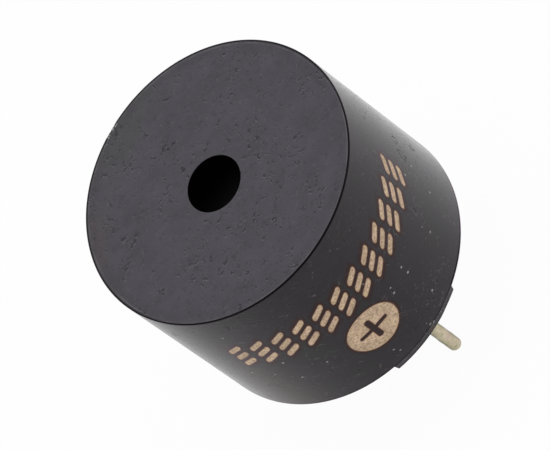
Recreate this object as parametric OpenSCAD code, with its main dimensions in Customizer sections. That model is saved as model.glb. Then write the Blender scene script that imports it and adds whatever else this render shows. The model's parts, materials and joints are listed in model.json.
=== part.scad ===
// Magnetic buzzer with its own driver, for a printed circuit board.
// The origin is the centre of the seating plane, under the feet.
// +Z goes up through the sound hole and the two pins point down, the positive one at -Y.

/* [Case] */
// Outside diameter of the case
case_d = 12; // [10:0.1:15]
// Height from the seating plane to the sound face
case_h = 9; // [7.5:0.1:12]
// Thickness of the wall round the bore
case_wall = 0.75; // [0.5:0.05:1]
// Thickness of the wall over the front chamber
top_wall = 0.9; // [0.5:0.05:1.3]
// Diameter of the sound hole
sound_hole_d = 2.4; // [1.5:0.1:3.6]
// Round of the edge between the side and the sound face
edge_round = 0.08; // [0.03:0.01:0.3]
// Chamfer round the foot of the side
rim_chamfer = 0.08; // [0.03:0.01:0.2]
// Chamfer inside the rim, which guides the base in
lead_in = 0.15; // [0.05:0.05:0.25]
// Width of the shoulder that the support ring is pushed up to
shoulder_w = 0.7; // [0.55:0.05:0.9]
// Height of the front chamber, over the shoulder
chamber_h = 1.35; // [0.8:0.05:1.6]

/* [Feet] */
// Height of each foot under the rim
foot_h = 0.3; // [0.1:0.05:0.5]
// Angle that each foot spans
foot_span = 36.8; // [20:0.1:60]
// Turn of the case about its axis, against the line of the pins
case_turn = -3.4; // [-10:0.1:10]

/* [Pins] */
// Diameter of each pin
pin_d = 0.6; // [0.4:0.05:0.8]
// Length of each pin below the seating plane
pin_free = 4.6; // [2:0.1:7]
// Chamfer at the free end of each pin
pin_chamfer = 0.1; // [0.03:0.01:0.15]
// Width across the flats of each pin's squared root, in the potting and the board
pin_root = 0.5; // [0.35:0.05:0.7]
// Distance from a pin's axis to the bore of the case
pin_inset = 1.45; // [1:0.05:1.8]

/* [Base] */
// Depth of the potting's face, above the rim
potting_recess = 0.3; // [0.1:0.05:0.4]
// Thickness of the potting, up to the circuit board
potting_t = 1.4; // [1.2:0.05:1.8]
// Thickness of the circuit board
board_t = 0.6; // [0.4:0.05:0.8]
// Thickness of the yoke plate
yoke_t = 0.7; // [0.5:0.05:0.9]
// Diameter of each hole in the yoke plate that a winding end passes through
yoke_hole_d = 0.6; // [0.4:0.05:0.8]

/* [Motor] */
// Diameter of the iron core
core_d = 2; // [1.4:0.1:2.4]
// Width of the shoulder that the core stands on, round its riveted tail
core_shoulder = 0.32; // [0.2:0.02:0.4]
// Gap between the core and the diaphragm at rest
air_gap = 0.25; // [0.15:0.05:0.4]
// Radial width of the ring magnet
magnet_w = 1; // [0.6:0.05:1.2]
// Gap between the magnet and the diaphragm
magnet_gap = 0.95; // [0.5:0.05:1.2]
// Radial room between the coil and the magnet, for the winding ends
lead_room = 0.7; // [0.55:0.05:0.8]
// Thickness of the insulating sleeve on the core
sleeve_t = 0.06; // [0.03:0.01:0.1]
// Thickness of the insulating washer under the coil
washer_t = 0.15; // [0.14:0.01:0.25]
// Distance from the top of the core down to the windings
coil_inset = 0.35; // [0.2:0.05:0.5]
// Share of the winding's width that the feedback winding takes
feedback_share = 0.28; // [0.15:0.01:0.5]
// Thickness of the tape round the coil
tape_t = 0.08; // [0.04:0.01:0.12]
// Height of bare winding under the tape
tape_inset = 0.2; // [0.1:0.05:0.3]
// Diameter of a winding end
lead_d = 0.1; // [0.06:0.01:0.12]

/* [Diaphragm] */
// Thickness of the diaphragm
diaphragm_t = 0.08; // [0.05:0.01:0.15]
// Width of the ledge that the diaphragm's edge rests on
diaphragm_seat = 0.45; // [0.3:0.05:0.6]
// Play round the diaphragm's edge
diaphragm_side_play = 0.1; // [0.05:0.01:0.15]
// Play above the diaphragm's edge, under the shoulder
diaphragm_top_play = 0.22; // [0.1:0.02:0.3]
// Width of the support ring's lip, outside the diaphragm
ring_lip = 0.38; // [0.25:0.01:0.5]
// Diameter of the armature disc
armature_d = 3.8; // [3:0.1:5]
// Thickness of the armature disc
armature_t = 0.35; // [0.2:0.05:0.6]

/* [Driver] */
// Size of the transistor's body: along Y, along X, down from the board
transistor_size = [2.9, 1.3, 1];
// Length of each transistor lead outside the body
transistor_lead = 0.55; // [0.4:0.05:0.6]
// Size of the bias resistor: along X, along Y, down from the board
resistor_size = [1.6, 0.8, 0.45];
// Size of the diode's body: along X, along Y, down from the board
diode_size = [1.7, 1.25, 0.85];
// Length of each diode lead outside the body
diode_lead = 0.35; // [0.2:0.05:0.4]

/* [Hidden] */
$fn = 96;

press_gap = 0.02;  // radial room between round pieces that are pushed or moulded together
drop_gap = 0.1;    // radial room round the discs that drop into the bore
wire_gap = 0.01;   // room between solder and what it holds
cut = 1;           // how far a cutter runs past a face

// Radii, from the outside in
case_r = case_d / 2;
bore_r = case_r - case_wall;
chamber_r = bore_r - shoulder_w;
disc_r = bore_r - drop_gap;
ring_r = bore_r - press_gap;
diaphragm_r = ring_r - ring_lip - diaphragm_side_play;
ring_bore_r = diaphragm_r - diaphragm_seat;
magnet_r = ring_bore_r - press_gap;
magnet_bore_r = magnet_r - magnet_w;
coil_r = magnet_bore_r - lead_room;
lead_ring_r = (coil_r + magnet_bore_r) / 2;
core_r = core_d / 2;
tail_r = core_r - core_shoulder;
sleeve_r = core_r + press_gap + sleeve_t;
winding_r = sleeve_r + press_gap;
drive_r = coil_r - tape_t - press_gap;
feedback_r = winding_r + (drive_r - winding_r) * feedback_share;
pin_r = pin_d / 2;
root_r = pin_root * sqrt(2) / 2;
pin_ring_r = bore_r - pin_inset;

// Heights, from the seating plane up
rim_z = foot_h;
potting_z = rim_z + potting_recess;
board_z = potting_z + potting_t;
yoke_z = board_z + board_t;
motor_z = yoke_z + yoke_t;
shoulder_z = case_h - top_wall - chamber_h;
diaphragm_z = shoulder_z - diaphragm_top_play - diaphragm_t;
core_top_z = diaphragm_z - air_gap;
magnet_top_z = diaphragm_z - magnet_gap;
coil_z = motor_z + washer_t;
coil_top_z = core_top_z - coil_inset;

// The three ends of the tapped winding leave on the -X side
lead_angles = [150, 180, 210];
lead_z = motor_z + washer_t / 2;      // height of the stretch that lies in the washer's slot
lead_bend = 0.15;                     // radius of the turn down through the yoke plate
lead_gap = 0.1;                       // room round a winding end in the washer and in the board
slot_w = lead_d + 2 * lead_gap;
lead_tail = 0.15;                     // length below the board, inside the solder
board_pin_gap = 0.05;                 // room round a pin's corners in the board
pin_top_inset = 0.1;                  // distance from a pin's top to the yoke plate
rivet_h = 0.25;                       // height of the flared end of the core's tail
rivet_flare = 0.27;                   // how far that end spreads round the tail

// Solder: how far each cone spreads round its wire or pin, at the board and at its tip
dot_spread = 0.23;
dot_tip = 0.07;
dot_h = 0.22;
fillet_spread = 0.5;
fillet_tip = 0.1;
fillet_h = 0.6;

// Places of the driver's parts on the underside of the board
transistor_x = 2.75;
resistor_y = 1.1;
diode_y = -1.05;
standoff = 0.1;                       // room between a moulded body and the board
foil_t = 0.12;                        // thickness of a formed lead
transistor_lead_w = 0.4;
transistor_lead_y = 0.95;
diode_lead_w = 0.3;
cap_w = 0.3;                          // length of each metal end of the resistor
cap_t = 0.02;                         // thickness of that metal

module tube(r_out, r_in, z_low, z_high) {
    translate([0, 0, z_low])
        difference() {
            cylinder(r = r_out, h = z_high - z_low);
            translate([0, 0, -cut]) cylinder(r = r_in, h = z_high - z_low + 2 * cut);
        }
}

module at_pins() {
    for (side = [-1, 1])
        translate([0, side * pin_ring_r, 0]) children();
}

module at_leads() {
    for (angle = lead_angles)
        rotate([0, 0, angle]) translate([lead_ring_r, 0, 0]) children();
}

// A box that hangs from a point, with its top face centred on it
module block(size, at) {
    translate([at[0] - size[0] / 2, at[1] - size[1] / 2, at[2] - size[2]]) cube(size);
}

module case_outside() {
    rotate_extrude() {
        polygon([
            [0, 0], [case_r - rim_chamfer, 0],
            [case_r, rim_chamfer], [case_r, case_h - edge_round], [0, case_h - edge_round]
        ]);
        translate([0, case_h - edge_round]) square([case_r - edge_round, edge_round]);
        translate([case_r - edge_round, case_h - edge_round]) circle(r = edge_round);
    }
}

module case_inside() {
    translate([0, 0, -cut]) cylinder(r = bore_r, h = shoulder_z + cut);
    translate([0, 0, -cut]) cylinder(r = bore_r + lead_in, h = rim_z + cut);
    translate([0, 0, rim_z]) cylinder(r1 = bore_r + lead_in, r2 = bore_r, h = lead_in);
    translate([0, 0, shoulder_z - cut]) cylinder(r = chamber_r, h = chamber_h + cut);
    translate([0, 0, case_h - top_wall - cut]) cylinder(d = sound_hole_d, h = top_wall + 2 * cut);
}

// What is cut away between two feet, up to the rim and its chamfer
module rim_gap() {
    rotate_extrude(angle = 180 - foot_span)
        polygon([
            [bore_r - cut, -cut], [case_r + cut, -cut],
            [case_r + cut, rim_z + rim_chamfer + cut],
            [case_r - rim_chamfer, rim_z], [bore_r - cut, rim_z]
        ]);
}

// One moulding: side, top wall, sound hole, inner shoulder and two feet
module case() {
    color([0.19, 0.19, 0.2])
        difference() {
            case_outside();
            case_inside();
            for (side = [0, 180])
                rotate([0, 0, 270 + case_turn + side + foot_span / 2]) rim_gap();
        }
}

// Moulded ring on the yoke plate: it locates the magnet and carries the diaphragm's edge
module support_ring() {
    color([0.83, 0.8, 0.72])
        difference() {
            tube(ring_r, ring_bore_r, motor_z, shoulder_z);
            translate([0, 0, diaphragm_z])
                cylinder(r = diaphragm_r + diaphragm_side_play, h = shoulder_z - diaphragm_z + cut);
        }
}

module diaphragm() {
    color([0.72, 0.73, 0.75])
        translate([0, 0, diaphragm_z]) cylinder(r = diaphragm_r, h = diaphragm_t);
}

module armature_disc() {
    color([0.6, 0.61, 0.63])
        translate([0, 0, diaphragm_z + diaphragm_t]) cylinder(d = armature_d, h = armature_t);
}

module core_tail(gap, past) {
    translate([0, 0, yoke_z - past]) cylinder(r = tail_r + gap, h = yoke_t + 2 * past);
    translate([0, 0, yoke_z]) cylinder(r1 = tail_r + rivet_flare + gap, r2 = tail_r + gap, h = rivet_h);
}

// Steel disc with the core's riveted hole in the middle and a hole for each winding end
module yoke_plate() {
    color([0.66, 0.67, 0.68])
        difference() {
            translate([0, 0, yoke_z]) cylinder(r = disc_r, h = yoke_t);
            core_tail(press_gap, cut);
            at_leads() translate([0, 0, yoke_z - cut]) cylinder(d = yoke_hole_d, h = yoke_t + 2 * cut);
        }
}

module iron_core() {
    color([0.55, 0.55, 0.56]) {
        translate([0, 0, motor_z]) cylinder(r = core_r, h = core_top_z - motor_z);
        core_tail(0, 0);
    }
}

module ring_magnet() {
    color([0.3, 0.3, 0.31]) tube(magnet_r, magnet_bore_r, motor_z, magnet_top_z);
}

// Insulating washer under the coil, with a slot for each winding end
module coil_washer() {
    color([0.87, 0.79, 0.58])
        difference() {
            tube(coil_r, core_r + press_gap, motor_z, coil_z);
            for (angle = lead_angles)
                rotate([0, 0, angle])
                    translate([sleeve_r, -slot_w / 2, motor_z - cut]) cube([coil_r, slot_w, washer_t + 2 * cut]);
        }
}

module core_sleeve() {
    color([0.85, 0.72, 0.42]) tube(sleeve_r, core_r + press_gap, coil_z, coil_top_z);
}

module feedback_winding() {
    color([0.72, 0.36, 0.16]) tube(feedback_r, winding_r, coil_z, coil_top_z);
}

module drive_winding() {
    color([0.78, 0.4, 0.18]) tube(drive_r, feedback_r + press_gap, coil_z, coil_top_z);
}

module coil_tape() {
    color([0.9, 0.78, 0.35]) tube(coil_r, coil_r - tape_t, coil_z + tape_inset, coil_top_z);
}

// One winding end: out along the washer's slot, a turn down, then through yoke plate and board
module winding_end() {
    start_r = winding_r + lead_gap;
    turn_r = lead_ring_r - lead_bend;
    translate([start_r, 0, lead_z])
        rotate([0, 90, 0]) cylinder(d = lead_d, h = turn_r - start_r);
    translate([turn_r, 0, lead_z - lead_bend])
        rotate([90, 0, 0]) rotate_extrude(angle = 90) translate([lead_bend, 0]) circle(d = lead_d);
    translate([lead_ring_r, 0, board_z - lead_tail])
        cylinder(d = lead_d, h = lead_z - lead_bend - board_z + lead_tail);
}

module winding_ends() {
    color([0.75, 0.38, 0.17])
        for (angle = lead_angles)
            rotate([0, 0, angle]) winding_end();
}

module circuit_board() {
    color([0.13, 0.36, 0.2])
        difference() {
            translate([0, 0, board_z]) cylinder(r = disc_r, h = board_t);
            translate([0, 0, board_z - cut]) {
                at_pins() cylinder(r = root_r + board_pin_gap, h = board_t + 2 * cut);
                at_leads() cylinder(r = lead_d / 2 + lead_gap, h = board_t + 2 * cut);
            }
        }
}

// A formed lead: out of the body at half height, down, and flat along the board
module formed_lead(length, width, body_h) {
    out = length / 2;
    translate([-foil_t, -width / 2, -(standoff + body_h) / 2 - foil_t / 2]) cube([out + foil_t, width, foil_t]);
    translate([out - foil_t, -width / 2, -(standoff + body_h) / 2]) cube([foil_t, width, (standoff + body_h) / 2]);
    translate([out - foil_t, -width / 2, -foil_t]) cube([length - out + foil_t, width, foil_t]);
}

module transistor() {
    half = transistor_size[1] / 2;
    color([0.12, 0.12, 0.13])
        translate([transistor_x, 0, board_z]) {
            block([transistor_size[1], transistor_size[0], transistor_size[2] - standoff], [0, 0, -standoff]);
            translate([half, 0, 0]) formed_lead(transistor_lead, transistor_lead_w, transistor_size[2]);
            for (side = [-1, 1])
                translate([-half, side * transistor_lead_y, 0])
                    rotate([0, 0, 180]) formed_lead(transistor_lead, transistor_lead_w, transistor_size[2]);
        }
}

module bias_resistor() {
    body = [resistor_size[0] - 2 * cap_t, resistor_size[1] - 2 * cap_t, resistor_size[2] - 2 * cap_t];
    color([0.14, 0.14, 0.16]) {
        block(body, [0, resistor_y, board_z - cap_t]);
        for (side = [-1, 1])
            block([cap_w, resistor_size[1], resistor_size[2]],
                [side * (resistor_size[0] - cap_w) / 2, resistor_y, board_z]);
    }
}

module clamp_diode() {
    color([0.12, 0.12, 0.12])
        translate([0, diode_y, board_z]) {
            block([diode_size[0], diode_size[1], diode_size[2] - standoff], [0, 0, -standoff]);
            for (turn = [0, 180])
                rotate([0, 0, turn])
                    translate([diode_size[0] / 2, 0, 0]) formed_lead(diode_lead, diode_lead_w, diode_size[2]);
        }
}

// Solder hangs from the board as a short cone round what it holds
module solder_cone(r_board, r_tip, h) {
    translate([0, 0, board_z - h]) cylinder(r1 = r_tip, r2 = r_board, h = h);
}

module lead_dot(gap) {
    r = lead_d / 2 + gap;
    solder_cone(r + dot_spread, r + dot_tip, dot_h);
}

module pin_fillet(gap) {
    r = root_r + gap;
    solder_cone(r + fillet_spread, r + fillet_tip, fillet_h);
}

// The squared root of a pin, coined from the round wire so that it can't turn or pull out
module squared_root(z_low, z_high, gap) {
    width = pin_root + 2 * gap;
    translate([-width / 2, -width / 2, z_low]) cube([width, width, z_high - z_low]);
}

module lead_solder() {
    color([0.78, 0.79, 0.8])
        at_leads()
            difference() {
                lead_dot(0);
                translate([0, 0, board_z - lead_tail - wire_gap])
                    cylinder(d = lead_d + 2 * wire_gap, h = lead_tail + cut);
            }
}

module pin_solder() {
    color([0.78, 0.79, 0.8])
        at_pins()
            difference() {
                pin_fillet(0);
                squared_root(board_z - fillet_h - cut, board_z + cut, wire_gap);
            }
}

// Tinned wire: round with a chamfered end as far as it is free, and squared from the potting up
module pin(side) {
    translate([0, side * pin_ring_r, 0]) {
        squared_root(potting_z, yoke_z - pin_top_inset, 0);
        translate([0, 0, pin_chamfer - pin_free])
            cylinder(r = pin_r, h = pin_free - pin_chamfer + potting_z);
        translate([0, 0, -pin_free]) cylinder(r1 = pin_r - pin_chamfer, r2 = pin_r, h = pin_chamfer);
    }
}

module positive_pin() {
    color([0.74, 0.71, 0.62]) pin(-1);
}

module negative_pin() {
    color([0.74, 0.71, 0.62]) pin(1);
}

// Epoxy from the board down to just inside the rim, round everything soldered to the board
module potting() {
    color([0.07, 0.07, 0.08])
        difference() {
            translate([0, 0, potting_z]) cylinder(r = bore_r - press_gap, h = potting_t);
            at_pins() {
                squared_root(potting_z - cut, board_z + cut, wire_gap);
                pin_fillet(wire_gap);
            }
            at_leads() lead_dot(wire_gap);
            transistor();
            bias_resistor();
            clamp_diode();
        }
}

case();
support_ring();
diaphragm();
armature_disc();
yoke_plate();
iron_core();
ring_magnet();
coil_washer();
core_sleeve();
feedback_winding();
drive_winding();
coil_tape();
winding_ends();
circuit_board();
transistor();
bias_resistor();
clamp_diode();
lead_solder();
pin_solder();
positive_pin();
negative_pin();
potting();
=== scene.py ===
import json
import math

import bpy
import numpy as np
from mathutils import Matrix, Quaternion, Vector


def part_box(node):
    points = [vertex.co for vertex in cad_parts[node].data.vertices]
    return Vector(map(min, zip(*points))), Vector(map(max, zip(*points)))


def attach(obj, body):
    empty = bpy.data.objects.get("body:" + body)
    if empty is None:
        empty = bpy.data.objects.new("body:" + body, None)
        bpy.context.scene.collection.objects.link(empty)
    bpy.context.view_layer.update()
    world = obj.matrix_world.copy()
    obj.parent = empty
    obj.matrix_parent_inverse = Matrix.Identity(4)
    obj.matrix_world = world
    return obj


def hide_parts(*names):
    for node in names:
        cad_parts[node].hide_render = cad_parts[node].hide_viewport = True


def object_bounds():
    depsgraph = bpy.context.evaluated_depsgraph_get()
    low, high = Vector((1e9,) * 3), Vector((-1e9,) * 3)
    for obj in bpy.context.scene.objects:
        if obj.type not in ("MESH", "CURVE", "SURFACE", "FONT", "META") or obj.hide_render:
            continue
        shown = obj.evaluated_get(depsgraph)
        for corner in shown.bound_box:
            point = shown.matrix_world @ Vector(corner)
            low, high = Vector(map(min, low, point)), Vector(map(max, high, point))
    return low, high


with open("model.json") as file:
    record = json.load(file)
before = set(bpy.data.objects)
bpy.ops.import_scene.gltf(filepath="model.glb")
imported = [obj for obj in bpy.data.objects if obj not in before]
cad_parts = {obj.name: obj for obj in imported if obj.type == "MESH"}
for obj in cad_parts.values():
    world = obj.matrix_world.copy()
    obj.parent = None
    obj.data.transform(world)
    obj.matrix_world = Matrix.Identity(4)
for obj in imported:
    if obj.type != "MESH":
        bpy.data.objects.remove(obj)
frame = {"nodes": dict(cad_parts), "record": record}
cadBox = [list(corner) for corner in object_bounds()]
nodes = frame["nodes"]
mm = 0.001


def boxOf(node):
    # the node's lowest and highest corner, in millimetres
    low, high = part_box(node)
    return np.array(low) / mm, np.array(high) / mm


print("frame loaded:", len(nodes), "nodes")

# The camera comes first, so that every later view starts from it.
cameraSet = {
    "azimuth": -5.30,       # 0 looks along +Y
    "elevation": 50.42,
    "roll": -54.02,         # about the line of sight
    "aim": (-0.03, 0.0, 4.5),
    "distance": 256.95,
    "lens": 426.8,
    "sensor": 36.0,
}


def makeCamera(setup):
    turn, rise = math.radians(setup["azimuth"]), math.radians(setup["elevation"])
    back = Vector((math.sin(turn) * math.cos(rise), -math.cos(turn) * math.cos(rise), math.sin(rise)))
    data = bpy.data.cameras.new("productCamera")
    data.lens, data.sensor_width = setup["lens"], setup["sensor"]
    data.clip_start, data.clip_end = 0.01, 10
    camera = bpy.data.objects.new("productCamera", data)
    camera.location = (Vector(setup["aim"]) + back * setup["distance"]) * mm
    camera.rotation_mode = "QUATERNION"
    rolled = Quaternion((0, 0, 1), math.radians(setup["roll"]))
    camera.rotation_quaternion = (-back).to_track_quat("-Z", "Y") @ rolled
    bpy.context.scene.collection.objects.link(camera)
    bpy.context.scene.camera = camera


makeCamera(cameraSet)
print("camera in place")


# Mesh tools


def bend(centre, radius, fromDeg, toDeg, count):
    # a round in the profile: centre plus radius times (cosine, sine) of evenly spaced angles
    a = np.radians(np.linspace(fromDeg, toDeg, count))
    return np.stack([centre[0] + radius * np.cos(a), centre[1] + radius * np.sin(a)], 1)


def stretch(start, end, count, edge=0.02):
    # points between two ends of a straight stretch, the outermost ones a small edge away from the ends
    start, end = np.array(start, float), np.array(end, float)
    near = min(edge / np.linalg.norm(end - start), 0.3)
    share = np.linspace(near, 1 - near, count)[:, None]
    return start * (1 - share) + end * share


def smooth(value):
    # 0 below 0, 1 above 1, and between them 6v^5 - 15v^4 + 10v^3, which is flat at both ends
    v = np.clip(value, 0, 1)
    return v ** 3 * (10 - 15 * v + 6 * v * v)


def turnedFrom(azimuth, centre):
    # the shortest way from centre to azimuth, in degrees between -180 and 180
    return (np.asarray(azimuth) - centre + 180) % 360 - 180


def ringFaces(rows, columns, closeRows):
    # quads between neighbouring rows and columns; the columns always close, the rows close if asked
    row = np.arange(rows if closeRows else rows - 1)[:, None]
    column = np.arange(columns)[None, :]
    nextRow, nextColumn = (row + 1) % rows, (column + 1) % columns
    here, above = row * columns, nextRow * columns
    corners = [here + column, here + nextColumn, above + nextColumn, above + column]
    return np.stack(corners, -1).reshape(-1, 4)


def makePiece(name, points, replaced=(), poles=None):
    # points are rows x columns x 3 in millimetres: a ring surface closed on itself, or by a pole at each end
    rows, columns = points.shape[:2]
    vertices = points.reshape(-1, 3)
    faces = ringFaces(rows, columns, poles is None).tolist()
    if poles is not None:
        first, last = len(vertices), len(vertices) + 1
        vertices = np.concatenate([vertices, np.array(poles, float)])
        column = np.arange(columns)
        nextColumn = (column + 1) % columns
        faces += np.stack([np.full(columns, first), nextColumn, column], 1).tolist()
        end = (rows - 1) * columns
        faces += np.stack([np.full(columns, last), end + column, end + nextColumn], 1).tolist()
    mesh = bpy.data.meshes.new(name)
    mesh.from_pydata(vertices * mm, [], faces)
    mesh.update()
    if signedVolume(mesh) < 0:
        mesh.flip_normals()
    mesh.shade_smooth()
    piece = bpy.data.objects.new(name, mesh)
    bpy.context.scene.collection.objects.link(piece)
    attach(piece, "root")
    if replaced:
        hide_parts(*replaced)
    print("made", name, len(mesh.polygons), "faces")
    return piece


def signedVolume(mesh):
    # a sixth of the sum of a . (b x c) over the mesh's triangles: positive when they face outwards
    mesh.calc_loop_triangles()
    places = np.empty(len(mesh.vertices) * 3, np.float32)
    mesh.vertices.foreach_get("co", places)
    corners = np.empty(len(mesh.loop_triangles) * 3, np.int32)
    mesh.loop_triangles.foreach_get("vertices", corners)
    a, b, c = places.reshape(-1, 3)[corners.reshape(-1, 3)].transpose(1, 0, 2).astype(float)
    return float((a * np.cross(b, c)).sum() / 6)


# The case is one closed wall, from the outside over the top, down the hole and out by the open bottom.
caseSize = {
    "edgeRound": 0.085,             # of the top's outer edge
    "tightRound": 0.035,            # of the same edge on its sharper side
    "tightSide": (85, 118),         # that side's middle azimuth and half width
    "tightFade": 20,                # degrees over which one round turns into the other
    "holeRound": 0.035,             # rim of the sound hole
    "holeShift": (-0.12, 0.012),    # the mould's core sits this far off the axis
    "shiftReach": 1.6,              # how far round the hole that shift dies out
    "holeRadius": 1.2,
    "capThickness": 0.9,
    "chamberRadius": 4.55,
    "ceilingRound": 0.05,
    "shoulderHeight": 6.75,
    "shoulderRound": 0.04,
    "boreRadius": 5.25,
    "innerRound": 0.03,             # of every other edge inside
    "leadRadius": 5.40,             # inside of the rim, after its lead-in
    "leadHeight": 0.48,
    "rimHeight": 0.3,
    "rimRound": 0.02,
    "footInset": 0.004,             # the feet stand this far inside the wall
    "footGroove": 0.014,            # depth of the parting line over a foot
    "footRound": 0.014,
    "footCentres": (266.35, 86.35),
    "footHalf": 18.95,              # half of the angle that a foot spans
    "rimDip": (304, 48, 0.075),     # the rim hangs a little lower here: azimuth, half width, depth
    "footRise": (284, 12, 0.035),   # and a foot's underside stands a little higher here
    "columnStep": 1.5,
}
nick = {"azimuth": 92.5, "halfWidth": 3.6, "depth": 0.024, "reach": 0.16, "columns": 80}


def caseBottom(sizes, radius):
    # the bottom edge twice, point for point: as it is at the rim, and as it is at a foot
    low, lead, r, inner = sizes["rimHeight"], sizes["leadRadius"], sizes["footRound"], sizes["innerRound"]
    face = radius - sizes["footInset"]
    groove = radius - sizes["footGroove"]
    rim = np.concatenate([
        bend((lead + inner, low + inner), inner, 225, 270, 6),
        stretch((lead + inner, low), (radius - sizes["rimRound"], low), 6),
        bend((radius - sizes["rimRound"], low + sizes["rimRound"]), sizes["rimRound"], 270, 360, 18),
    ])
    foot = np.concatenate([
        [(lead - 0.01, low - 0.01)],
        stretch((lead, low - inner), (lead, inner), 3),
        bend((lead + inner, inner), inner, 200, 250, 2),
        stretch((lead + 0.04, 0), (face - r, 0), 6),
        bend((face - r, r), r, 270, 360, 6),
        stretch((face, r + 0.01), (face, low - 0.02), 5),
        stretch((face - 0.002, low - 0.012), (groove, low + 0.004), 3, 0.002),
        stretch((groove + 0.002, low + 0.010), (radius, low + 0.034), 4, 0.001),
    ])
    return rim, foot


def caseProfile(sizes, radius, top, edge):
    # (radius, height) pairs of everything above the bottom edge, from the outer wall round to the lead-in
    lip, inner = sizes["holeRound"], sizes["innerRound"]
    cove, step = sizes["ceilingRound"], sizes["shoulderRound"]
    hole, ceiling = sizes["holeRadius"], top - sizes["capThickness"]
    chamber, shoulder = sizes["chamberRadius"], sizes["shoulderHeight"]
    bore, lead = sizes["boreRadius"], sizes["leadHeight"]
    leadEnd = (sizes["leadRadius"] - 0.01, sizes["rimHeight"] + 0.02)
    return np.concatenate([
        stretch((radius, sizes["rimHeight"] + sizes["rimRound"]), (radius, top - 0.5), 14),
        stretch((radius, top - 0.47), (radius, top - edge), 9),
        bend((radius - edge, top - edge), edge, 0, 90, 9),
        stretch((radius - edge, top), (radius - 0.5, top), 9),
        stretch((radius - 0.6, top), (hole + lip, top), 10),
        bend((hole + lip, top - lip), lip, 90, 180, 6),
        stretch((hole, top - lip), (hole, ceiling + inner), 6),
        bend((hole + inner, ceiling + inner), inner, 180, 270, 4),
        stretch((hole + inner, ceiling), (chamber - cove, ceiling), 6),
        bend((chamber - cove, ceiling - cove), cove, 90, 0, 4),
        stretch((chamber, ceiling - cove), (chamber, shoulder + inner), 4),
        bend((chamber + inner, shoulder + inner), inner, 180, 270, 4),
        stretch((chamber + inner, shoulder), (bore - step, shoulder), 3),
        bend((bore - step, shoulder - step), step, 90, 0, 4),
        stretch((bore, shoulder - step), (bore, lead), 10),
        bend((bore + inner, lead), inner, 180, 225, 3),
        stretch((bore + 0.01, lead - 0.025), leadEnd, 3, 0.03),
    ])


def caseColumns(sizes, radius):
    # azimuths: even all round, crowded at the four ends of the feet and at the nick
    perDegree = math.radians(radius)
    inside = np.linspace(-0.06, 0.12, 15) / perDegree
    fromCentre = sizes["footHalf"] - inside
    ends = [centre + side * fromCentre for centre in sizes["footCentres"] for side in (-1, 1)]
    ends.append(nick["azimuth"] + np.linspace(-1.3, 1.3, nick["columns"]) * nick["halfWidth"])
    crowd = np.concatenate(ends) % 360
    even = np.arange(0, 360, sizes["columnStep"])
    clear = np.abs(turnedFrom(even[:, None], crowd[None, :])).min(1) > sizes["columnStep"] / 4
    return np.unique(np.round(np.concatenate([even[clear], crowd]), 4))


def makeCase(sizes):
    high = boxOf("case")[1]
    radius, top = high[0], high[2]
    azimuth = caseColumns(sizes, radius)
    wornRoundAndPaintedHighlight, tight = (caseProfile(sizes, radius, top, sizes[size]) for size in ("edgeRound", "tightRound"))
    rim, foot = caseBottom(sizes, radius)
    # how far a column is in a foot: 0 at the rim, 1 in the foot, smoothly over the sloping end
    fromCentres = [np.abs(turnedFrom(azimuth, centre)) for centre in sizes["footCentres"]]
    depth = (sizes["footHalf"] - np.min(fromCentres, 0)) * math.radians(radius)
    inFoot = smooth((depth + 0.03) / 0.11)[None, :, None]
    middle, reach = sizes["tightSide"]
    inTight = smooth((reach - np.abs(turnedFrom(azimuth, middle))) / sizes["tightFade"])[None, :, None]
    upper = wornRoundAndPaintedHighlight[:, None, :] * (1 - inTight) + tight[:, None, :] * inTight
    bottom = rim[:, None, :] * (1 - inFoot) + foot[:, None, :] * inFoot
    # the lower points move by a smooth hump over the dip's or the rise's width
    moves = ((sizes["rimDip"], 1 - inFoot, -1), (sizes["footRise"], inFoot, 1))
    for (middle, reach, size), share, way in moves:
        near = smooth(1.6 * (1 - np.abs(turnedFrom(azimuth, middle)) / reach))[None, :]
        bottom[..., 1] += way * size * near * share[..., 0] * smooth((0.34 - bottom[..., 1]) / 0.06)
    profile = np.concatenate([upper, bottom])
    # the nick: points near the top edge move inwards and down, raggedly along the edge
    away = turnedFrom(azimuth, nick["azimuth"]) / nick["halfWidth"]
    ragged = 0.55 + 0.25 * np.sin(9.1 * away + 0.6) + 0.2 * np.sin(23 * away + 2.0) + 0.12 * np.sin(47 * away)
    along = np.clip(1 - away ** 2, 0, 1) ** 0.7 * ragged
    corner = np.hypot(radius - profile[..., 0], top - profile[..., 1])
    push = nick["depth"] * along[None, :] * np.clip(1 - corner / nick["reach"], 0, 1) ** 1.3
    profile = profile - push[..., None] * np.array([0.75, 0.85])
    turn = np.radians(azimuth)[None, :]
    # the hole and what is round it move sideways, less and less towards the outside
    moved = 1 - smooth((profile[..., 0] - sizes["holeRadius"] - 0.1) / sizes["shiftReach"])
    x = profile[..., 0] * np.cos(turn) + moved * sizes["holeShift"][0]
    y = profile[..., 0] * np.sin(turn) + moved * sizes["holeShift"][1]
    return makePiece("caseShell", np.stack([x, y, profile[..., 1]], -1), ["case"])


caseShell = makeCase(caseSize)

# Each pin is round tinned wire, pressed square where it is held, cut and rounded at the tip.
pinSize = {
    "rootFlat": 0.5,         # across the flats of the squared part
    "topHalf": 0.2,          # half the width of its upper end
    "tipRound": 0.13,
    "rootShare": 0.885,      # thickness where the wire leaves the resin, against its nominal size
    "tipShare": 0.955,       # and near the tip
    "unevenness": 0.006,
    "columns": 56,
}


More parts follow.
